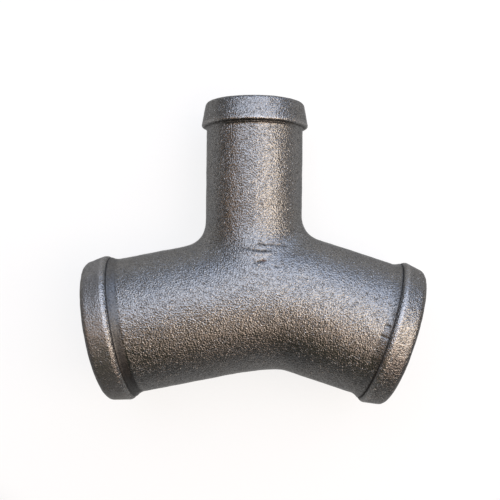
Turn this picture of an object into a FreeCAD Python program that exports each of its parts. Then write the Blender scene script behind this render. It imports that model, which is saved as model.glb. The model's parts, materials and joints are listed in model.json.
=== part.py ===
import FreeCAD, Part
import math
import os

os.makedirs("parts", exist_ok=True)

# Cast pipe tee for rubber hose, one piece
# Lengths are in millimetres and angles in degrees.
# The three axes lie in one plane. They are drawn in the XY plane, with the stub along +Y,
# and the finished casting is then laid down as it rests on its three collars.

# Pipe sizes
main_radius = 19.0          # outside of the main pipe, the seat of a 38 mm hose
stub_radius = 13.6          # outside of the stub, the seat of a 27 mm hose
wall = 3.0                  # cast wall, the same in the main pipe and the stub

# Directions and lengths from the bend point
left_drop = 11.0            # how far the left arm falls below the square to the stub
right_drop = 18.3           # the same for the right arm
stub_lean = 0.6             # the stub leans a little towards the right arm
bend_offset = 6.85          # the arms' axes cross this far to the right of the stub's axis
left_length = 51.6          # bend point to the left mouth
right_length = 37.2         # bend point to the right mouth
stub_length = 54.5          # bend point's level to the stub's mouth

# The bend turns gently first and then tightly
gentle_turn = 8.0
gentle_inside_radius = 90.0
tight_inside_radius = 8.0

# Hose collars of the two arms
nose_height = 0.45          # front edge of the cone above the hose seat
cone_rise = 0.172           # rise of the cone for each millimetre of its length
left_cone_length = 6.4
right_cone_length = 6.0
crease_depth = 0.7          # a sharp crease runs round behind each crown
crease_width = 0.5
crease_lip = 0.4            # the crease's far lip is this much lower than the crown
step_slope = 48.0           # slope of the step behind the crease
step_hollow = 2.2           # radius of the hollow at the foot of the step
crown_round = 0.3
nose_round = 1.4
hollow_flats = 2            # each small round of a collar is turned as a few short flats
crown_flats = 1
nose_flats = 3

# Hose collar of the stub
stub_crown_height = 1.45
stub_nose_height = 0.28
stub_cone_length = 6.8
stub_step_slope = 52.0
stub_step_hollow = 0.6
stub_crown_round = 0.2
stub_nose_round = 0.7

# Blends
junction_round = 6.7        # stub into the main pipe, outside
mouth_chamfer = 0.7         # inner edge of each mouth
core_corner = 7.0           # the core cuts the corner of the bend this far from the bend point

left_crown_height = nose_height + cone_rise * left_cone_length
right_crown_height = nose_height + cone_rise * right_cone_length
bore_radius = main_radius - wall
stub_bore_radius = stub_radius - wall
overrun = 5.0               # how far a cutting cylinder runs past a mouth

ORIGIN = FreeCAD.Vector(0, 0, 0)
UP = FreeCAD.Vector(0, 0, 1)


def heading(angle):
    """Unit vector in the XY plane, measured from +X towards +Y."""
    return FreeCAD.Vector(math.cos(math.radians(angle)), math.sin(math.radians(angle)), 0)


def place(shape, start, direction):
    """Moves a shape drawn along +Z so that it runs from start along direction."""
    shape.Placement = FreeCAD.Placement(start, FreeCAD.Rotation(UP, direction))
    return shape


def eased(before, corner, after, radius, flats):
    """Points of a corner that is rounded by a few short flats."""
    back = (before - corner).normalize()
    ahead = (after - corner).normalize()
    half = back.getAngle(ahead) / 2
    centre = corner + (back + ahead).normalize() * (radius / math.sin(half))
    start = corner + back * (radius / math.tan(half)) - centre
    turn = 180 - math.degrees(2 * half)
    axis = ahead.cross(back)
    count = round(flats)
    points = []
    for step in range(count + 1):
        swing = FreeCAD.Rotation(axis, turn * step / count)
        points.append(centre + swing.multVec(start))
    return points


def hose_end(begin, length, radius, crown, nose, cone, slope, hollow, crown_edge, nose_edge):
    """Solid leg along +Z from begin to length, with its hose collar at the far end."""
    crown_z = length - cone
    lip_z = crown_z - crease_width
    foot_z = lip_z - (crown - crease_lip) / math.tan(math.radians(slope))
    inner_low = FreeCAD.Vector(0, 0, begin)
    outer_low = FreeCAD.Vector(radius, 0, begin)
    foot = FreeCAD.Vector(radius, 0, foot_z)
    lip = FreeCAD.Vector(radius + crown - crease_lip, 0, lip_z)
    crease = FreeCAD.Vector(radius + crown - crease_depth, 0, crown_z - crease_width / 4)
    top = FreeCAD.Vector(radius + crown, 0, crown_z)
    front = FreeCAD.Vector(radius + nose, 0, length)
    inner_high = FreeCAD.Vector(0, 0, length)

    points = [inner_low, outer_low]
    points += eased(outer_low, foot, lip, hollow, hollow_flats)
    points += [lip, crease]
    points += eased(crease, top, front, crown_edge, crown_flats)
    points += eased(top, front, inner_high, nose_edge, nose_flats)
    points += [inner_high, inner_low]
    outline = Part.makePolygon(points)
    return Part.Face(outline).revolve(ORIGIN, UP, 360)


def elbow(start, angle, turn, bend_radius, radius):
    """Round bar that starts at a point with a heading and turns clockwise about a centre."""
    centre = start + heading(angle - 90) * bend_radius
    disc = Part.Face(Part.Wire(Part.makeCircle(radius, start, heading(angle))))
    return disc.revolve(centre, FreeCAD.Vector(0, 0, -1), turn)


# Bend points
# A corner between the two arcs splits the whole turn; the law of sines gives its sides.
whole_turn = left_drop + right_drop
tight_turn = whole_turn - gentle_turn
gentle_radius = gentle_inside_radius + main_radius
tight_radius = tight_inside_radius + main_radius
gentle_tangent = gentle_radius * math.tan(math.radians(gentle_turn / 2))
tight_tangent = tight_radius * math.tan(math.radians(tight_turn / 2))
span = gentle_tangent + tight_tangent
before = span * math.sin(math.radians(tight_turn)) / math.sin(math.radians(whole_turn))
after = span * math.sin(math.radians(gentle_turn)) / math.sin(math.radians(whole_turn))

bend_point = FreeCAD.Vector(bend_offset, 0, 0)
left_way = heading(180 + left_drop)
right_way = heading(-right_drop)
stub_way = heading(90 - stub_lean)
bend_start = bend_point + left_way * (before + gentle_tangent)
gentle_corner = bend_point + left_way * before
bend_middle = gentle_corner + heading(left_drop - gentle_turn) * gentle_tangent
left_straight = before + gentle_tangent
right_straight = after + tight_tangent


# Outside
left_arm = hose_end(left_straight, left_length, main_radius, left_crown_height, nose_height,
                    left_cone_length, step_slope, step_hollow, crown_round, nose_round)
right_arm = hose_end(right_straight, right_length, main_radius, right_crown_height, nose_height,
                     right_cone_length, step_slope, step_hollow, crown_round, nose_round)
stub = hose_end(0, stub_length, stub_radius, stub_crown_height, stub_nose_height,
                stub_cone_length, stub_step_slope, stub_step_hollow, stub_crown_round,
                stub_nose_round)
left_arm = place(left_arm, bend_point, left_way)
right_arm = place(right_arm, bend_point, right_way)
stub = place(stub, ORIGIN, stub_way)

gentle_bend = elbow(bend_start, left_drop, gentle_turn, gentle_radius, main_radius)
tight_bend = elbow(bend_middle, left_drop - gentle_turn, tight_turn, tight_radius, main_radius)

run = left_arm.fuse([gentle_bend, tight_bend, right_arm])
outside = run.fuse(stub)


def branch_corner(shape, radius):
    """The edges where a branch of one radius around the stub's axis enters the run."""
    found = []
    for edge in shape.Edges:
        if isinstance(edge.Curve, (Part.Circle, Part.Line)):
            continue
        on_branch = True
        for point in edge.discretize(7):
            off_axis = point - stub_way * point.dot(stub_way)
            if abs(off_axis.Length - radius) > 0.01:
                on_branch = False
        if on_branch:
            found.append(edge)
    return found


corner = branch_corner(outside, stub_radius)
print("junction edges", len(corner))
outside = outside.makeFillet(junction_round, corner)

# Passages
# The core is three straight bars in the run, mitred where they meet, and one in the stub.
def far_side(point, direction):
    """A block that fills the space beyond a plane."""
    reach = 4 * left_length
    block = Part.makeBox(reach, reach, reach)
    block.translate(FreeCAD.Vector(-reach / 2, -reach / 2, 0))
    return place(Part.makeCompound([block]), point, direction)


def core_bar(start, end, radius):
    """A round bar that runs past both of its ends."""
    along = (end - start).normalize()
    bar = Part.makeCylinder(radius, start.distanceToPoint(end) + 2 * overrun)
    return place(bar, start - along * overrun, along)


left_mouth = bend_point + left_way * left_length
right_mouth = bend_point + right_way * right_length
stub_mouth = stub_way * stub_length
left_joint = bend_point + left_way * core_corner
right_joint = bend_point + right_way * core_corner
middle_heading = (left_drop - right_drop) / 2
left_mitre = heading((left_drop + middle_heading) / 2)
right_mitre = heading((middle_heading - right_drop) / 2)

left_core = core_bar(left_mouth, left_joint, bore_radius).cut(far_side(left_joint, left_mitre))
middle_core = core_bar(left_joint, right_joint, bore_radius)
middle_core = middle_core.cut(far_side(left_joint, left_mitre * -1.0))
middle_core = middle_core.cut(far_side(right_joint, right_mitre))
right_core = core_bar(right_joint, right_mouth, bore_radius)
right_core = right_core.cut(far_side(right_joint, right_mitre * -1.0))
stub_core = Part.makeCylinder(stub_bore_radius, stub_length + overrun)
stub_core = place(stub_core, ORIGIN, stub_way)

core = left_core.fuse([middle_core, right_core, stub_core])
casting = outside.cut(core)

# Mouths
mouths = [
    (left_mouth, bore_radius),
    (right_mouth, bore_radius),
    (stub_mouth, stub_bore_radius),
]
rims = []
for edge in casting.Edges:
    if not isinstance(edge.Curve, Part.Circle):
        continue
    for centre, radius in mouths:
        if edge.Curve.Center.distanceToPoint(centre) < 1e-4 and abs(edge.Curve.Radius - radius) < 1e-4:
            rims.append(edge)
print("mouth edges", len(rims))
casting = casting.makeChamfer(mouth_chamfer, rims)

# Laid down on its three collars
# The lowest points of the three crowns fix the plane that the casting rests on.
crowns = [
    (bend_point + left_way * (left_length - left_cone_length), left_way,
     main_radius + left_crown_height),
    (bend_point + right_way * (right_length - right_cone_length), right_way,
     main_radius + right_crown_height),
    (stub_way * (stub_length - stub_cone_length), stub_way, stub_radius + stub_crown_height),
]
normal = UP
for attempt in range(20):
    touch = []
    for centre, way, radius in crowns:
        down = normal * -1.0 + way * normal.dot(way)
        touch.append(centre + down.normalize() * radius)
    normal = (touch[1] - touch[0]).cross(touch[2] - touch[0]).normalize()
lay_down = FreeCAD.Rotation(normal, UP)
print("tilt", math.degrees(lay_down.Angle))

casting.Placement = FreeCAD.Placement(ORIGIN, lay_down).multiply(casting.Placement)
box = casting.optimalBoundingBox(False, False)
to_origin = FreeCAD.Vector(-(box.XMin + box.XMax) / 2, -(box.YMin + box.YMax) / 2, -box.ZMin)
casting.translate(to_origin)

print("valid", casting.isValid(), "solids", len(casting.Solids), "faces", len(casting.Faces))
print("volume cm3", casting.Volume / 1000)
print("box", box.XLength, box.YLength, box.ZLength)
for name, centre, way in (("left", left_mouth, left_way), ("right", right_mouth, right_way),
                          ("stub", stub_mouth, stub_way)):
    spot = lay_down.multVec(centre) + to_origin
    aim = lay_down.multVec(way)
    print(name, "mouth", spot, "way", aim)
print("bend point", lay_down.multVec(bend_point) + to_origin)
print("stub base", lay_down.multVec(ORIGIN) + to_origin)

casting.exportStep("parts/tee_casting.step")
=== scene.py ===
# %% [markdown]
# # A cast pipe tee for rubber hose
# The object is a single casting: a bent main pipe, a smaller stub on the outside of the bend, and a raised collar at
# each of the three mouths, over which a hose is pushed and clamped. It lies on a pale table and is seen from above.
# The CAD model gives its exact shape. This lesson gives it what a foundry gives: softened corners, a slightly wavy
# skin, the fine pebbles that shot blasting leaves, and a satin metal that is lit by soft lamps.

# %% Open the CAD model
import bpy
import bmesh
import json
import math
import numpy as np
from mathutils import Matrix, Vector, noise


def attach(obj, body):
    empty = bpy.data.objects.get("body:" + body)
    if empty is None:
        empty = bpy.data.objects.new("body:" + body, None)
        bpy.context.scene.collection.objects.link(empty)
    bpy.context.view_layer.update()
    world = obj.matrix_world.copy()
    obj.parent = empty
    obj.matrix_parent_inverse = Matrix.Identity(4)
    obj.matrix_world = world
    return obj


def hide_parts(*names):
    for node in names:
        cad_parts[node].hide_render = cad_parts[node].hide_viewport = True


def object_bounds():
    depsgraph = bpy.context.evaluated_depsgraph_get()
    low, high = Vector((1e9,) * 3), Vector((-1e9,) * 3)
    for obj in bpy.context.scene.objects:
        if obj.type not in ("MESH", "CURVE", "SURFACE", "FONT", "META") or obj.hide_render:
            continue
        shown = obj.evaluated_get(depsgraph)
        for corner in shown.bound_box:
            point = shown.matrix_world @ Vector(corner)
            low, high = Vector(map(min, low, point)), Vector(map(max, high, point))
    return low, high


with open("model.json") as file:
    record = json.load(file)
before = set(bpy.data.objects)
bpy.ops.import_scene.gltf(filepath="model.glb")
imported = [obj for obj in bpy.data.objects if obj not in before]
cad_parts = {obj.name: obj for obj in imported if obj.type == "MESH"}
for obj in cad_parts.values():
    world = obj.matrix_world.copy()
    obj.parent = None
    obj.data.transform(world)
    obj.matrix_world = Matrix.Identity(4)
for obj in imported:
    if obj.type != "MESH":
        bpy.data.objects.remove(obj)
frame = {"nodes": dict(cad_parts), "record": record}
cad_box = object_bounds()
casting = frame["nodes"]["tee_casting"]
mounts = {mount["name"]: mount for mount in frame["record"]["mounts"]}
print("CAD box in mm:", [round(1000 * side, 2) for side in cad_box[1] - cad_box[0]])

# %% [markdown]
# ## The camera
# The photograph looks almost straight down from about 24 cm. A camera that looks down needs no turn at all in
# Blender, because an unturned camera looks along -Z with +Y at the top of the picture. Two small turns then tip it
# as the real one was tipped. Turning the camera first and moving it along its own axes after that keeps the three
# steps independent.

# %% Set the camera over the table
scene = bpy.context.scene


def put_in_scene(name, data):
    """Makes an object of a mesh, a lamp or a camera and shows it in the scene."""
    thing = bpy.data.objects.new(name, data)
    scene.collection.objects.link(thing)
    return thing


lens = bpy.data.cameras.new("camera")
lens.lens = 55.84
lens.sensor_width = 36
camera = put_in_scene("camera", lens)
tip_back = Matrix.Rotation(math.radians(-4.985), 4, "X")
tip_side = Matrix.Rotation(math.radians(1.049), 4, "Y")
step_back = Matrix.Translation((-0.001505, -0.001271, 0.23799))
camera.matrix_world = tip_back @ tip_side @ step_back
scene.camera = camera
print("camera height in mm:", round(1000 * camera.matrix_world.translation.z, 1))

# %% [markdown]
# ## The table
# The casting lies on a plain white table. A real table top would be a slab with edges, but the view ends long before
# them, so one flat sheet far larger than the view is enough.

# %% Lay the table
table_reach = 1.5
table_mesh = bpy.data.meshes.new("table")
sheet = bmesh.new()
bmesh.ops.create_grid(sheet, x_segments=1, y_segments=1, size=table_reach)
sheet.to_mesh(table_mesh)
sheet.free()
table = put_in_scene("table", table_mesh)
print("the table reaches", table_reach, "m to each side")

# %% [markdown]
# ## Writing materials as sums
# A material is a network of nodes. Networks of arithmetic are slow to read as nodes and quick to read as sums, so a
# small class wraps an output socket and lets +, -, *, and / add the Math nodes. Every other node comes from one
# method, which takes the node's type, its settings and its sockets in that order.

# %% A class for values in a material
class Value:
    def __init__(self, bench, socket):
        self.bench = bench
        self.socket = socket

    def math(self, operation, first, second):
        return self.bench.node("ShaderNodeMath", {"operation": operation}, {0: first, 1: second})

    def __add__(self, other):
        return self.math("ADD", self, other)

    def __radd__(self, other):
        return self.math("ADD", other, self)

    def __sub__(self, other):
        return self.math("SUBTRACT", self, other)

    def __rsub__(self, other):
        return self.math("SUBTRACT", other, self)

    def __mul__(self, other):
        return self.math("MULTIPLY", self, other)

    def __rmul__(self, other):
        return self.math("MULTIPLY", other, self)

    def __truediv__(self, other):
        return self.math("DIVIDE", self, other)


class Bench:
    """One material on the work bench."""

    def __init__(self, name):
        self.material = bpy.data.materials.new(name)
        self.material.use_nodes = True
        self.tree = self.material.node_tree
        self.tree.nodes.clear()

    def node(self, kind, settings=None, sockets=None, output=0):
        made = self.tree.nodes.new(kind)
        for name, setting in (settings or {}).items():
            setattr(made, name, setting)
        for name, content in (sockets or {}).items():
            if isinstance(content, Value):
                self.tree.links.new(content.socket, made.inputs[name])
            else:
                made.inputs[name].default_value = content
        return Value(self, made.outputs[output])

    def blend(self, share, first, second):
        """A colour between two colours."""
        return self.node("ShaderNodeMix", {"data_type": "RGBA", "clamp_factor": True},
                         {0: share, 6: first, 7: second}, 2)

    def ease(self, amount, low, high, at_low=0.0, at_high=1.0):
        """A soft step: at_low below low, at_high above high."""
        return self.node("ShaderNodeMapRange", {"interpolation_type": "SMOOTHSTEP"},
                         {0: amount, 1: low, 2: high, 3: at_low, 4: at_high})

    def finish(self, surface):
        output = self.tree.nodes.new("ShaderNodeOutputMaterial")
        self.tree.links.new(surface.socket, output.inputs["Surface"])
        print(self.material.name, "has", len(self.tree.nodes), "nodes")
        return self.material


# %% [markdown]
# ## White paint that still takes a shadow
# The photograph's table is almost burnt out to white, with only a breath of shadow along the part's lower edges.
# Plain white paint would look grey under these soft lamps. So the paint is a mixture of matt paint and its own glow.
# The glow is there for the rays that look at it: from the camera, off the metal or through glass. Every other ray
# meets matt paint only, so the glow lights nothing and the shadow stays. The Light Path node tells the rays apart.

# %% A mixture of matt paint and glow
glow_share = 0.80


def glowing_paint(bench, grey, brightness, share):
    """Matt paint of one grey, with a share of glow for the rays that look at it."""
    matt = bench.node("ShaderNodeBsdfDiffuse", {}, {"Color": (grey, grey, grey, 1)})
    glow = bench.node("ShaderNodeEmission", {}, {"Color": (brightness, brightness, brightness, 1), "Strength": 1.0})
    camera_ray, glossy_ray, glass_ray = (bench.node("ShaderNodeLightPath", {}, {}, ray)
                                         for ray in ("Is Camera Ray", "Is Glossy Ray", "Is Transmission Ray"))
    looking = camera_ray + glossy_ray + glass_ray
    return bench.node("ShaderNodeMixShader", {}, {0: share * looking, 1: matt, 2: glow})


# %% [markdown]
# ## White in the middle, greyer further out
# A satin metal is a dull mirror, and its steep sides mirror the far part of the table. On the photograph they are
# darker than a table that is white all over would make them. So two paints are mixed by the distance from the middle
# of the table: white as far as the camera sees it, and grey beyond that.

# %% Paint the table
white_reach = 0.106
grey_reach = 0.165
paper = Bench("white_table")
spot = paper.node("ShaderNodeTexCoord", {}, {}, "Object")
from_middle = paper.node("ShaderNodeVectorMath", {"operation": "LENGTH"}, {0: spot}, "Value")
white_paint = glowing_paint(paper, 0.75, 1.0, glow_share)
grey_paint = glowing_paint(paper, 0.35, 0.19, glow_share)
both_paints = paper.node("ShaderNodeMixShader", {}, {0: paper.ease(from_middle, white_reach, grey_reach),
                                                     1: white_paint, 2: grey_paint})
table.data.materials.append(paper.finish(both_paints))

# %% [markdown]
# ## The backdrop
# From low down, the room behind the table comes into view. A band of pale cloth stands all round it, as in a small
# photo studio. It is a circle of edges that is extruded upwards once. Its middle grey is also what the steepest
# parts of the metal mirror.

# %% Stand a pale backdrop round it
backdrop_radius = 1.45
backdrop_height = 0.30
backdrop_mesh = bpy.data.meshes.new("backdrop")
band = bmesh.new()
bmesh.ops.create_circle(band, segments=96, radius=backdrop_radius)
raised = bmesh.ops.extrude_edge_only(band, edges=band.edges[:])
upper_edge = [part for part in raised["geom"] if isinstance(part, bmesh.types.BMVert)]
bmesh.ops.translate(band, vec=(0, 0, backdrop_height), verts=upper_edge)
band.to_mesh(backdrop_mesh)
band.free()
backdrop = put_in_scene("backdrop", backdrop_mesh)
cloth = Bench("pale_backdrop")
backdrop.data.materials.append(cloth.finish(glowing_paint(cloth, 0.5, 1.0, 0.30)))

# %% [markdown]
# ## The lamps
# The bands on the metal tell where the light was. The blue band towards the top of the picture comes from a window,
# high up and also low down where only the sky shows. The brown side and the warm right of the stub come from warm
# lamps at the right. The rest are weak and only keep the dark sides from going black. Each lamp was first rendered
# alone. Its watts and its tint were then chosen by least squares, so that all these pictures added up come closest
# to the photograph. They are large and far away, as the soft light of a window is. The room itself adds a very dim
# warm light from everywhere, so that nothing is quite black.

# %% Hang the lamps
middle = Vector((0, -0.005, 0.02))
lamp_distance = 0.60
lamps = [  # name, degrees from +X towards +Y, degrees above the table, width, height, watts, colour
    ("window", 67, 48, 0.62, 0.50, 3.16, (0.83, 0.87, 1.0)),
    ("low_window", 75, 16, 0.94, 0.30, 1.84, (0.59, 0.72, 1.0)),
    ("warm_lamp", 0, 51, 0.32, 0.56, 2.96, (1.0, 0.85, 0.7)),
    ("low_warm_lamp", 0, 16, 0.36, 0.30, 0.08, (1.0, 0.75, 0.73)),
    ("near_right_lamp", 309, 51, 0.32, 0.56, 1.31, (1.0, 0.75, 0.61)),
    ("far_left_lamp", 128, 51, 0.32, 0.56, 1.54, (0.77, 0.84, 1.0)),
    ("left_lamp", 180, 51, 0.32, 0.56, 0.68, (1.0, 0.7, 0.49)),
    ("front_lamp", 246, 48, 0.62, 0.50, 0.11, (0.95, 1.0, 0.62)),
]
for name, sideways, upwards, width, height, watts, colour in lamps:
    lamp = bpy.data.lights.new(name, "AREA")
    lamp.shape = "RECTANGLE"
    lamp.size = width
    lamp.size_y = height
    lamp.energy = watts
    lamp.color = colour
    around = math.radians(sideways)
    above = math.radians(upwards)
    way = Vector((math.cos(above) * math.cos(around), math.cos(above) * math.sin(around), math.sin(above)))
    holder = put_in_scene(name, lamp)
    aim = way.to_track_quat("Z", "Y").to_matrix().to_4x4()
    holder.matrix_world = Matrix.Translation(middle + way * lamp_distance) @ aim
print("lamps:", len(lamps), "with", round(sum(lamp[5] for lamp in lamps), 2), "watts")

# %% Fill the room
room = bpy.data.worlds.new("room")
room.use_nodes = True
background = room.node_tree.nodes["Background"]
background.inputs["Color"].default_value = (1.0, 0.95, 0.90, 1)
background.inputs["Strength"].default_value = 0.02
scene.world = room
scene.view_settings.view_transform = "Standard"
print("room light:", round(background.inputs["Strength"].default_value, 3))

# %% [markdown]
# ## The skin of the casting
# The CAD mesh has long thin triangles, which can't carry a wavy skin. A Remesh modifier lays an even grid of small
# faces over the same shape. It works on a copy, because the CAD mesh itself stays as it is, and the copy's loose
# triangles are joined first so that the modifier sees one closed skin.

# %% Copy the casting and join its skin
skin_mesh = bpy.data.meshes.new("cast_tee")
skin = bmesh.new()
skin.from_mesh(casting.data)
bmesh.ops.remove_doubles(skin, verts=skin.verts, dist=0.000002)
skin.to_mesh(skin_mesh)
print("joined skin:", len(skin.verts), "points,", len([e for e in skin.edges if not e.is_manifold]), "open edges")
skin.free()
tee = put_in_scene("cast_tee", skin_mesh)


def bake_modifiers(piece):
    """Replaces the mesh by what its modifiers make of it."""
    graph = bpy.context.evaluated_depsgraph_get()
    made = bpy.data.meshes.new_from_object(piece.evaluated_get(graph))
    piece.modifiers.clear()
    piece.data = made
    print(piece.name, "has", len(made.vertices), "points and", len(made.polygons), "faces")


# %% Lay an even grid over it
grid = tee.modifiers.new("even_grid", "REMESH")
grid.mode = "VOXEL"
grid.voxel_size = 0.0005
bake_modifiers(tee)

# %% [markdown]
# ## Which point is where
# The pattern maker turned the three pipe ends on a lathe. The lathe's axes are known from the mounts in the record:
# each mouth has a centre and a direction. From them every point of the skin gets a depth behind the mouth and a
# distance from the axis, which is all that the next steps need. All lengths are in metres, apart from those in the
# list of marks.

# %% Measure the skin from each mouth
wall = 0.0030
mount_inset = 0.001  # how far inside its mouth a mount's point lies
own_reach = 1.6  # in bore radii: what lies further from the axis belongs to another pipe
mouths = {}
for side in ("left", "right", "stub"):
    mount = mounts[side + "_bore"]
    axis = Vector(mount["axis"])
    mouths[side] = (Vector(mount["pos_m"]) + mount_inset * axis, axis, mount["dims"]["r_mm"] / 1000)
print("mouth radii in mm:", {side: round(1000 * bore, 1) for side, (centre, axis, bore) in mouths.items()})


def read_points(mesh):
    points = np.zeros(3 * len(mesh.vertices), np.float32)
    mesh.vertices.foreach_get("co", points)
    return points.reshape(-1, 3).astype(float)


def read_normals(mesh):
    normals = np.zeros(3 * len(mesh.vertices), np.float32)
    mesh.vertices.foreach_get("normal", normals)
    return normals.reshape(-1, 3).astype(float)


def write_points(mesh, points):
    mesh.vertices.foreach_set("co", points.astype(np.float32).ravel())
    mesh.update()


def measure(points, side):
    """Depth behind a mouth, the way out from its axis and the distance from it, for each point."""
    centre, axis, bore = (np.array(part) for part in mouths[side])
    depth = (centre - points) @ axis
    outward = points - centre + depth[:, None] * axis
    return depth, outward, np.linalg.norm(outward, axis=1)


# %% [markdown]
# ## Rounding the facets away
# The CAD mesh is made of flat facets about 2 mm wide, and a satin metal would show them as stripes. The smooth_vert
# operator moves each point a little towards the middle of its neighbours, and a few dozen turns of it round the
# facets of the bend, the junction and the passages. The straight pipes are left out, because it would shrink them.

# %% Smooth the bend and the junction
straight = {"left": 0.0245, "right": 0.0265, "stub": 0.0305}  # how far behind its mouth each pipe stays straight
overlap = 0.002  # the end of the straight part, which is smoothed as well
margin = 0.001


def smooth(skin, points, turns):
    """Smooths some points of a skin, again and again."""
    for turn in range(turns):
        bmesh.ops.smooth_vert(skin, verts=points, factor=0.5, use_axis_x=True, use_axis_y=True, use_axis_z=True)
    print("smoothed", len(points), "points", turns, "times")


points = read_points(tee.data)
on_straight = np.zeros(len(points), bool)
for side, (centre, axis, bore) in mouths.items():
    depth, outward, radius = measure(points, side)
    on_straight |= (depth > -margin) & (depth < straight[side] - overlap) & (radius < own_reach * bore)
skin = bmesh.new()
skin.from_mesh(tee.data)
soft_points = [point for point, fixed in zip(skin.verts, on_straight) if not fixed]
smooth(skin, soft_points, 24)

# %% [markdown]
# ## The root of the stub
# In the CAD model a ball is rolled along both pipes to round the corner between them. The sheen in the photograph
# shows that the middle of the real root is fuller and rises more gently. So the points there are lifted away from
# the plane of the three axes, most in the middle and less and less around it, and then smoothed again. The far side
# gets the same, because one pattern made both.

# %% Fill the root of the stub
root_middle = Vector((-0.0003, 0.0006, mouths["stub"][0].z))
fill_height = 0.00160
fill_across = 0.0080
fill_to_stub = 0.0040
fill_to_pipe = 0.0043
upright = mouths["left"][1].cross(mouths["stub"][1]).normalized()
upright *= math.copysign(1, upright.z)


def is_on_root(point):
    """Whether a point is near the root, on the outside of the metal and not in the passage."""
    away = point.co - root_middle
    faces_out = point.normal.dot(upright) * away.dot(upright) > 0.2 * away.length
    return abs(away.x) < 0.014 and abs(away.y) < 0.013 and faces_out


skin.normal_update()
root_points = [point for point in soft_points if is_on_root(point)]
for point in root_points:
    away = point.co - root_middle
    across = away.x / fill_across
    along = away.y / (fill_to_stub if away.y > 0 else fill_to_pipe)
    rise = fill_height * math.exp(-across ** 2 - along ** 2)
    point.co += math.copysign(rise, away.dot(upright)) * upright
smooth(skin, root_points, 30)
skin.to_mesh(tee.data)
skin.free()

# %% [markdown]
# ## Skimming the straight pipes
# The true radius of the straight pipes is known, outside and in the bore. So their points are moved out or in to it,
# as a lathe would skim them. Towards the bend this fades out over 3 mm, so that no step shows.

# %% Skim the straight pipes
collar_room = 0.007  # the skimming starts this far behind the mouth, because the collar is made anew later
skim_reach = 0.0012  # the most that a point may be off the true radius
skim_fade = 0.003
points = read_points(tee.data)
for side, (centre, axis, bore) in mouths.items():
    depth, outward, radius = measure(points, side)
    for true_radius in (bore, bore + wall):
        skimmed = (depth > collar_room) & (depth < straight[side]) & (abs(radius - true_radius) < skim_reach)
        share = np.clip((straight[side] - depth[skimmed]) / skim_fade, 0, 1)
        points[skimmed] += outward[skimmed] * (share * (true_radius / radius[skimmed] - 1))[:, None]
    print(side, "pipe is straight for", round(1000 * straight[side], 1), "mm")
write_points(tee.data, points)

# %% [markdown]
# ## The wavy skin
# Sand doesn't hold a surface exactly. The skin of a casting rises and falls by a few hundredths of a millimetre over
# one to five millimetres, which shows as a restless highlight and an outline that isn't quite straight. Points are
# moved along their normals by smooth noise, which is the same each time the script runs.

# %% Move the points in and out
small_wave = (0.000032, 0.0011)  # height and length
large_wave = (0.000060, 0.0031)
sink = 0.00002  # brings the crests down towards the true skin


def wave(place, height, length):
    return height * noise.noise(place / length)


def make_wavy(mesh, moved):
    """Moves the chosen points of a mesh along their normals."""
    points = read_points(mesh)
    height = np.zeros(len(points))
    for number in np.flatnonzero(moved):
        place = Vector(points[number])
        height[number] = wave(place, *small_wave) + wave(place, *large_wave) - sink
    write_points(mesh, points + read_normals(mesh) * height[:, None])
    print("moved", int(moved.sum()), "points by up to", round(1e6 * float(abs(height).max())), "micrometres")


make_wavy(tee.data, np.ones(len(tee.data.vertices), bool))

# %% [markdown]
# ## Fewer faces where they aren't needed
# The even grid has far more faces than the gentle waves need. A Decimate modifier joins them where the skin is
# nearly flat, which leaves room for the finer faces of the collars and the marks.

# %% Thin out the flat places
faces_wanted = 64000
thin = tee.modifiers.new("thin_out", "DECIMATE")
thin.ratio = min(1.0, faces_wanted / len(tee.data.polygons))
bake_modifiers(tee)

# %% [markdown]
# ## The hose collars
# Each mouth carries a collar that holds the hose: a short cone that the hose slides up, a crown, a sharp crease
# behind it, which the photograph shows as a dark line, and a narrow lip from which a slope runs out into the pipe.
# Such crisp rings can't come out of an even grid, so they are turned anew: a profile of a few points is spun round
# the axis, its corners are bevelled, and long strips are divided so that they can carry the wavy skin too. The grid
# is cut off a little further back and the new ends are bridged to it.

# %% Sizes of the three collars
# Heights are above the pipe and depths behind the mouth. nose and crown are heights, and cone is the depth of the
# crown. The crease lies a flank behind the crown and a crease below it. slope is in degrees, and hollow is the
# radius at its foot. length is the new end's, and steps is how many parts one turn has.
collars = {
    "left": {"nose": 0.00045, "crown": 0.00165, "cone": 0.0065, "flank": 0.0010, "crease": 0.00085, "slope": 36,
             "hollow": 0.0032, "crown_bevel": 0.00072, "nose_bevel": 0.0016, "length": 0.0110, "steps": 300},
    "right": {"nose": 0.00045, "crown": 0.00158, "cone": 0.0061, "flank": 0.0010, "crease": 0.00095, "slope": 28,
              "hollow": 0.0032, "crown_bevel": 0.00080, "nose_bevel": 0.0016, "length": 0.0107, "steps": 300},
    "stub": {"nose": 0.00028, "crown": 0.00150, "cone": 0.00655, "flank": 0.00045, "crease": 0.00105, "slope": 58,
             "hollow": 0.0005, "crown_bevel": 0.00036, "nose_bevel": 0.0008, "length": 0.0096, "steps": 220},
}
lip_width = 0.00015
lip_height = {"left": 0.00010, "right": 0.00010, "stub": 0.00001}
mouth_chamfer = 0.0007
seam = 0.0003  # the gap that is bridged
bore_strip = 0.0014  # how long a strip may be in the bore and on the outside
outer_strip = 0.00045
same_spot = 0.000001  # how close counts as the same corner of the profile, as in the bore, and as the same depth
on_bore = 0.00001
same_depth = 0.00002
lip_bevel = 0.00008
crease_bevel = 0.00006
mouth_bevel = 0.00015


# %% Helpers for turned rings
def ring_spot(point):
    """Depth and distance from the axis of a point on a ring that is turned about Z."""
    return Vector((-point.co.z, math.hypot(point.co.x, point.co.y)))


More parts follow.
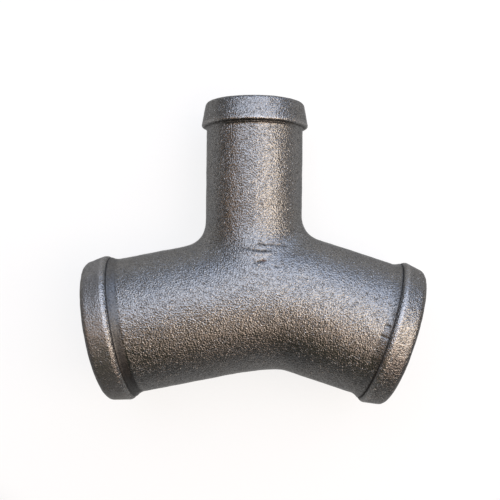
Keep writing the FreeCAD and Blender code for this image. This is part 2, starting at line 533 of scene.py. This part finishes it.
def round_ring(end, spot, offset, segments):
    """Bevels the ring of edges at one spot of the profile."""
    ring = [edge for edge in end.edges if all((ring_spot(point) - spot).length < same_spot for point in edge.verts)]
    bmesh.ops.bevel(end, geom=ring, offset=offset, offset_type="OFFSET", segments=segments, profile=0.5,
                    affect="EDGES", material=-1, clamp_overlap=False)


def divide_strips(end, bore):
    """Divides the strips that are too long to carry the wavy skin."""
    by_cuts = {}
    for edge in end.edges:
        low, high = (ring_spot(point) for point in edge.verts)
        length = (high - low).length
        in_bore = max(low.y, high.y) < bore + on_bore
        cuts = math.ceil(length / (bore_strip if in_bore else outer_strip)) - 1
        if cuts > 0:
            by_cuts.setdefault(cuts, []).append(edge)
    for cuts, edges in by_cuts.items():
        bmesh.ops.subdivide_edges(end, edges=edges, cuts=cuts, use_grid_fill=True)


# %% Turn one pipe end
def turn_end(side):
    """A pipe end with its collar, open at the back, as a mesh in its place."""
    centre, axis, bore = mouths[side]
    size = collars[side]
    seat = bore + wall
    back = Vector((size["length"], seat))
    top = Vector((size["cone"], seat + size["crown"]))
    crease = top + Vector((size["flank"], -size["crease"]))
    lip = crease + Vector((lip_width, lip_height[side]))
    foot = Vector((lip.x + (lip.y - seat) / math.tan(math.radians(size["slope"])), seat))
    front = Vector((0, seat + size["nose"]))
    rim = Vector((0, bore + mouth_chamfer))
    inside = Vector((mouth_chamfer, bore))
    far_inside = Vector((size["length"], bore))

    end = bmesh.new()
    chain = [end.verts.new((spot.y, 0, -spot.x))
             for spot in (back, foot, lip, crease, top, front, rim, inside, far_inside)]
    for one, other in zip(chain, chain[1:]):
        end.edges.new((one, other))
    bmesh.ops.spin(end, geom=end.verts[:] + end.edges[:], cent=(0, 0, 0), axis=(0, 0, 1), dvec=(0, 0, 0),
                   angle=math.tau, steps=size["steps"], use_merge=True, use_duplicate=False)
    hollow_bevel = size["hollow"] * math.tan(math.radians(size["slope"] / 2))
    for spot, offset, segments in ((foot, hollow_bevel, 4), (lip, lip_bevel, 1), (crease, crease_bevel, 1),
                                   (top, size["crown_bevel"], 7), (front, size["nose_bevel"], 6),
                                   (rim, mouth_bevel, 2), (inside, mouth_bevel, 2)):
        round_ring(end, spot, offset, segments)
    divide_strips(end, bore)
    to_place = Matrix.Translation(centre) @ axis.to_track_quat("Z", "Y").to_matrix().to_4x4()
    bmesh.ops.transform(end, matrix=to_place, verts=end.verts)
    mesh = bpy.data.meshes.new(side + "_end")
    end.to_mesh(mesh)
    print(side, "end:", len(end.verts), "points,", len(end.faces), "faces")
    end.free()
    return mesh


# %% Cut the grid back and bridge the new ends to it
def open_ring(skin, side, depth, outside):
    """The open edges at one depth behind a mouth, on the outside or in the bore."""
    centre, axis, bore = mouths[side]
    found = []
    for edge in skin.edges:
        if edge.is_boundary:
            middle = (edge.verts[0].co + edge.verts[1].co) / 2 - centre
            along = -middle.dot(axis)
            away = (middle + along * axis).length
            at_depth = abs(along - depth) < same_depth
            if at_depth and away < own_reach * bore and (away > bore + wall / 2) == outside:
                found.append(edge)
    return found


skin = bmesh.new()
skin.from_mesh(tee.data)
for side, (centre, axis, bore) in mouths.items():
    cut_depth = collars[side]["length"] + seam
    bmesh.ops.bisect_plane(skin, geom=skin.verts[:] + skin.edges[:] + skin.faces[:], dist=1e-7,
                           plane_co=centre - cut_depth * axis, plane_no=axis, clear_outer=True)
for side in mouths:
    skin.from_mesh(turn_end(side))
    for outside in (True, False):
        grid_ring = open_ring(skin, side, collars[side]["length"] + seam, outside)
        end_ring = open_ring(skin, side, collars[side]["length"], outside)
        bridge = bmesh.ops.bridge_loops(skin, edges=grid_ring + end_ring)
        print(side, "bridge:", len(grid_ring), "edges to", len(end_ring), "with", len(bridge["faces"]), "faces")
bmesh.ops.recalc_face_normals(skin, faces=skin.faces)
print("open edges left:", len([edge for edge in skin.edges if not edge.is_manifold]))
skin.to_mesh(tee.data)
skin.free()

# %% [markdown]
# ## Waves on the new ends
# The turned ends are too perfect as they are, so they get the same waves as the rest. Some crests may then stand a
# few hundredths of a millimetre outside the CAD model's box, and they are held back to it.

# %% Make the new ends wavy too
points = read_points(tee.data)
on_new_end = np.zeros(len(points), bool)
for side, (centre, axis, bore) in mouths.items():
    depth, outward, radius = measure(points, side)
    on_new_end |= (depth < collars[side]["length"] + seam / 2) & (radius < own_reach * bore)
make_wavy(tee.data, on_new_end)
write_points(tee.data, np.clip(read_points(tee.data), np.array(cad_box[0]), np.array(cad_box[1])))

# %% [markdown]
# ## Marks left by the casting
# Where the stub meets the main pipe the metal froze before it had quite run together, and left two shallow laps with
# lifted edges, a small blister, some pits and a spot of rust. A few nicks stand beside the right collar. They are
# carved into the mesh, because a bump pattern would look flat from the side. The faces around each mark are divided
# twice first, so that they are small enough to carry it.

# %% List the marks
# Each mark is a line as it is seen from above, with the width of its groove and its depth, in millimetres. A mark
# with a depth below zero stands up from the skin.
marks = [
    ("lower_lap", [(-3.19, 2.14), (-1.59, 1.9), (0.0, 1.64), (2.4, 1.37), (4.53, 1.35)], 0.22, 0.08),
    ("lower_lap", [(-0.6, 1.73), (2.4, 1.37), (3.4, 1.36)], 0.22, 0.12),
    ("upper_lap", [(1.3, 3.28), (2.93, 2.93), (4.8, 2.9), (6.67, 2.59), (9.09, 2.27)], 0.22, 0.08),
    ("upper_lap", [(1.5, 3.21), (3.1, 2.93)], 0.22, 0.12),
    ("flake_edge", [(2.93, 3.46), (5.07, 3.94), (7.22, 3.88), (8.56, 2.8)], 0.22, 0.08),
    ("flake", [(4.4, 3.5), (6.6, 3.4)], 0.7, -0.12),
    ("lifted_edge", [(-1.6, 1.2), (0.0, 0.9), (2.4, 0.7), (4.5, 0.8)], 0.5, -0.08),
    ("blister", [(0.81, 0.45), (2.4, 0.5), (3.99, 0.75)], 0.65, -0.13),
    ("dark_pit", [(1.08, -1.39), (2.4, -1.14)], 0.28, 0.26),
    ("rust_pit", [(2.5, -1.1), (3.3, -1.1)], 0.35, 0.20),
    ("hook", [(-0.24, -0.66), (0.29, -1.64), (0.82, -1.88)], 0.22, 0.12),
    ("short_pit", [(5.55, -2.59), (6.6, -2.59)], 0.25, 0.14),
    ("ridge_gap", [(12.3, -5.55), (14.4, -5.57)], 0.3, 0.13),
    ("ridge_gap", [(12.29, -6.53), (14.37, -6.55)], 0.3, 0.13),
    ("ridge_gap", [(12.79, -7.53), (14.36, -7.04)], 0.3, 0.13),
    ("nick", [(34.3, -17.3), (35.3, -17.6)], 0.24, 0.16),
    ("nick", [(33.1, -20.1), (33.7, -20.4)], 0.24, 0.16),
    ("nick", [(34.0, -20.5), (34.7, -20.7)], 0.24, 0.14),
]
print("marks:", len(marks))

marked_height = 0.025  # no mark lies lower than this above the table
far_off = 1.0


def distance_to_line(points, line):
    """How far each point is from a line, as seen from above. Points low down or on the far side don't count."""
    nearest = np.full(len(points), far_off)
    line = np.array(line) / 1000
    on_top = points[:, 2] > marked_height
    points = np.where(on_top[:, None], points[:, :2], far_off)
    for start, end in zip(line, line[1:]):
        along = end - start
        share = np.clip((points - start) @ along / (along @ along), 0, 1)
        nearest = np.minimum(nearest, np.linalg.norm(points - start - share[:, None] * along, axis=1))
    return nearest


# %% Divide the faces around the marks
dividings = ((0.0012, 0.00035), (0.0008, 0.00020))  # how far from a mark, and the longest edge that is left alone
skin = bmesh.new()
skin.from_mesh(tee.data)
for reach, longest in dividings:
    points = np.array([point.co for point in skin.verts])
    near = np.min([distance_to_line(points, line) for name, line, width, depth in marks], axis=0)
    skin.verts.index_update()
    edges = [edge for edge in skin.edges
             if max(near[point.index] for point in edge.verts) < reach and edge.calc_length() > longest]
    bmesh.ops.subdivide_edges(skin, edges=edges, cuts=1, use_grid_fill=False)
bmesh.ops.triangulate(skin, faces=[face for face in skin.faces if len(face.verts) > 4])
print("marks stand in", len(skin.faces), "faces")
skin.to_mesh(tee.data)
skin.free()

# %% Carve the marks
points = read_points(tee.data)
sunk = np.zeros(len(points))
ragged = 1 + 0.5 * np.sin(points[:, 0] * 5200) * np.sin(points[:, 1] * 4100 + 1)  # swells over about a millimetre
for name, line, width, depth in marks:
    away = distance_to_line(points, line) / (width / 1000)
    sunk += depth / 1000 * ragged * np.exp(-away ** 2)
write_points(tee.data, points - read_normals(tee.data) * sunk[:, None])
tee.data.shade_smooth()
print("deepest spot of the marks in mm:", round(1000 * float(sunk.max()), 2))

# %% [markdown]
# ## Where shade and highlights are painted, and where the skin differs
# The skin isn't the same everywhere, and seven numbers on each point of the mesh tell the material where it differs
# and where shade or a highlight is painted into its colour:
#
# - shade in hollows: painted shade, nearly black, in the crease behind each crown, in the laps, the pits and the
#   nicks, and on the lower part of the slope behind the left crown.
# - smooth and shaded: the hollow behind a collar has less grain, and painted shade makes it darker than the open skin.
# - wear and highlight: the crowns are rubbed bright, partly by wear and partly as a painted highlight, which is dimmer
#   on the lower half of the left crown.
# - bare: the left cone, the flake and the blister are smoother and a little brighter.
# - wrinkly: the lower half of the right cone has more of the fine wrinkles.
# - rust and shade: a spot of rust, and a darker patch across the main pipe.
#
# They are found in Python, where the distance to a ring or a line is easy to work out, and read back by name.

# %% Helpers for places on the mesh
points = read_points(tee.data)
places = {name: np.zeros(len(points)) for name in ("hollow_shade", "smooth_and_shaded", "wear_and_highlight", "rust", "shade", "bare", "wrinkly")}


def put(name, amount):
    """Raises a place's number to an amount where it was lower."""
    places[name] = np.maximum(places[name], amount)


def soft_step(amount, low, high):
    """0 below low, 1 above high and a soft rise between them."""
    share = np.clip((amount - low) / (high - low), 0, 1)
    return share * share * (3 - 2 * share)


def bell(distance, width):
    """1 at no distance, and almost 0 at twice the width."""
    return np.exp(-(distance / width) ** 2)


# %% Places round the collars
rings = {  # width and strength of the painted shade in the crease, and of the smooth, shade-painted band behind it
    "left": (0.00017, 1.0, 0.0025, 1.0),
    "right": (0.00028, 1.0, 0.0022, 0.2),
    "stub": (0.00022, 0.6, 0.0007, 0.2),
}
band_edge = 0.0003
rub_width = 0.0005
rub_shift = 0.0003  # towards the mouth, where a hand rubs the crown's front; the painted highlight goes with it
for side, (centre, axis, bore) in mouths.items():
    crease_shade_width, crease_shade_strength, band_width, band_strength = rings[side]
    crown_depth = collars[side]["cone"]
    depth, outward, radius = measure(points, side)
    outside = (radius > bore + wall / 2) & (radius < own_reach * bore)
    upwards = outward[:, 1] / radius  # 1 towards the top of the picture, -1 towards its bottom
    behind = depth - crown_depth - collars[side]["flank"]
    crease_shade = crease_shade_strength * bell(behind, crease_shade_width)
    band = soft_step(behind, -band_edge, 0.0001) * soft_step(-behind, -band_width - band_edge, -band_width + band_edge)
    rubbed_and_lit = bell(depth - crown_depth + rub_shift, rub_width)
    on_cone = soft_step(-depth, -crown_depth, -crown_depth + 0.001)
    if side == "left":  # on this one the painted shade and the painted highlight change on the way round
        crease_shade *= 0.2 + 0.8 * soft_step(upwards, -0.65, -0.20)
        band *= 1 - 0.5 * soft_step(upwards, 0.50, 0.80)
        rubbed_and_lit *= 0.5 + 0.5 * soft_step(upwards, -0.25, 0.1)
        lower_part = soft_step(-upwards, -0.3, 0.05) * soft_step(upwards, -0.65, -0.45)
        on_slope = soft_step(behind, 0.0004, 0.0007) * soft_step(-behind, -0.0024, -0.0016)
        # extra painted shade on the lower part of the slope behind the left crown
        put("hollow_shade", 0.60 * outside * band * lower_part * on_slope)
        put("bare", 0.95 * outside * on_cone)
    if side == "right":
        put("wrinkly", outside * on_cone * soft_step(-upwards, -0.15, 0.15))
    # painted shade in the crease, painted shade in the smooth band behind it, and wear with a painted highlight on the
    # crown
    put("hollow_shade", outside * crease_shade)
    put("smooth_and_shaded", outside * band * band_strength)
    put("wear_and_highlight", outside * rubbed_and_lit)

# %% Places at the marks
# how dark the painted shade in each kind of mark is
darkness = {  # for each millimetre of depth
    "lower_lap": 8.5, "upper_lap": 8.0, "dark_pit": 3.5, "rust_pit": 2.5, "nick": 3.0, "hook": 3.0, "short_pit": 4.0,
}
mark_shade_width = 0.00024
rust_width = 0.00026
shade_width = 0.0035
bare_spread = 1.2  # of a mark's own width
for name, line, width, depth in marks:
    away = distance_to_line(points, line)
    if name in darkness:
        # painted shade in the laps, pits and nicks, darker the deeper they are
        put("hollow_shade", min(1, darkness[name] * depth) * bell(away, mark_shade_width))
    if name in ("flake", "blister"):
        put("bare", bell(away, bare_spread * width / 1000))
put("rust", bell(distance_to_line(points, [(2.5, -1.1), (3.2, -1.1)]), rust_width))
put("shade", bell(distance_to_line(points, [(6, -21), (9.3, -24.8), (12.6, -29.1)]), shade_width))

# %% Store the places on the mesh
for name, amount in places.items():
    attribute = tee.data.attributes.new(name, "FLOAT", "POINT")
    attribute.data.foreach_set("value", np.clip(amount, 0, 1).astype(np.float32))
    print(name, "covers", int((amount > 0.5).sum()), "points")

# %% [markdown]
# ## The grain of the metal
# Shot blasting leaves a satin skin of small swells, two or three to the millimetre, with a raised bead here and there
# and short wrinkles where the molten metal's skin creased. They are too small for the mesh, so they are a Bump
# node's work. The largest are only about a tenth of a millimetre high, and the places stored above make them lower.

# %% Swells, beads and wrinkles
metal = Bench("blasted_iron")
spot = metal.node("ShaderNodeTexCoord", {}, {}, "Object")
in_mm = metal.node("ShaderNodeVectorMath", {"operation": "SCALE"}, {0: spot, "Scale": 1000})


def stored(name):
    """One of the numbers that were stored on the points."""
    return metal.node("ShaderNodeAttribute", {"attribute_name": name}, {}, "Fac")


def swells(to_the_mm, detail=0.0):
    """Smooth noise with so many swells to the millimetre, between 0 and 1 and mostly near 0.5."""
    return metal.node("ShaderNodeTexNoise", {}, {"Vector": in_mm, "Scale": to_the_mm, "Detail": detail})


def cells(output):
    """Irregular cells: the distance to the nearest cell's middle, or that cell's own random colour."""
    return metal.node("ShaderNodeTexVoronoi", {"feature": "F1"},
                      {"Vector": in_mm, "Scale": 1.4, "Randomness": 1.0}, output)


pebbles = swells(2.35)
sand = swells(3.4)
lumps = swells(0.9, detail=1.0)
bead_number = metal.node("ShaderNodeSeparateColor", {}, {0: cells("Color")})
bead_size = metal.ease(bead_number, 0.40, 1.0, 0.01, 0.36)
bead_and_glint = metal.ease(cells("Distance") / bead_size, 1.0, 0.35)
off_middle = metal.node("ShaderNodeMath", {"operation": "ABSOLUTE"}, {0: swells(1.4) - 0.5})
has_wrinkles = metal.ease(swells(0.8) + 0.12 * stored("wrinkly"), 0.48, 0.60)
wrinkle = metal.ease(off_middle, 0.045, 0.0) * has_wrinkles

# %% Bumps
grain = pebbles + 0.62 * sand + 0.1 * lumps + 0.5 * bead_and_glint - (0.4 + 0.35 * stored("wrinkly")) * wrinkle
open_skin = 1 - 0.65 * stored("smooth_and_shaded") - 0.3 * stored("bare")
bump = metal.node("ShaderNodeBump", {}, {"Strength": 1.0, "Distance": 0.000138, "Height": grain * open_skin})
print("the grain is", len(metal.tree.nodes), "nodes")

# %% [markdown]
# ## Its colour and its shine
# The colour is a dark neutral grey that is a little browner in patches. Over it come thin coats, one after the other:
# darker in the dips and the wrinkles, painted glints on the beads, lighter where the crowns are rubbed and carry a
# painted highlight, painted shade in the hollows behind the collars, and painted shade, almost black, in the creases,
# laps and pits.
# The metal is matt enough for its highlights to spread into broad bands, and a little glossier on top of the swells.

# %% Mix the metal
warm_grey = (0.204, 0.200, 0.194, 1)
cool_grey = (0.190, 0.189, 0.188, 1)
grey = metal.blend(metal.ease(swells(0.16, detail=3.0), 0.35, 0.65), warm_grey, cool_grey)
coats = [  # how much of each coat, and its colour
    (0.7 * metal.ease(pebbles, 0.46, 0.33), (0.11, 0.108, 0.105, 1)),
    (0.5 * wrinkle, (0.05, 0.049, 0.048, 1)),
    # painted glints: the tops of the beads are painted lighter
    (0.7 * bead_and_glint, (0.46, 0.46, 0.46, 1)),
    # painted shade in the smooth hollows behind the collars, and the darker patch across the main pipe
    (0.80 * stored("smooth_and_shaded") + 0.24 * stored("shade"), (0.05, 0.05, 0.05, 1)),
    # the rubbed crowns, lighter from wear and from a painted highlight, and the lighter bare places
    (0.35 * stored("wear_and_highlight") + 0.12 * stored("bare"), (0.42, 0.41, 0.40, 1)),
    # painted shade, almost black, in the creases, laps and pits
    (0.92 * stored("hollow_shade"), (0.012, 0.012, 0.013, 1)),
    (0.8 * stored("rust"), (0.06, 0.022, 0.010, 1)),
]
for share, colour in coats:
    grey = metal.blend(share, grey, colour)
roughness = (metal.ease(pebbles, 0.35, 0.65, 0.34, 0.25)
             + 0.25 * stored("hollow_shade") + 0.15 * stored("bare") + 0.06 * stored("smooth_and_shaded"))
iron = metal.node("ShaderNodeBsdfPrincipled", {},
                  {"Base Color": grey, "Metallic": 1.0, "Roughness": roughness,
                   "Specular Tint": (0.45, 0.45, 0.45, 1), "Normal": bump})
tee.data.materials.clear()
tee.data.materials.append(metal.finish(iron))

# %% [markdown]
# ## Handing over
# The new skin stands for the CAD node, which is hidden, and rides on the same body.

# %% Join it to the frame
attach(tee, "root")
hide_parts("tee_casting")
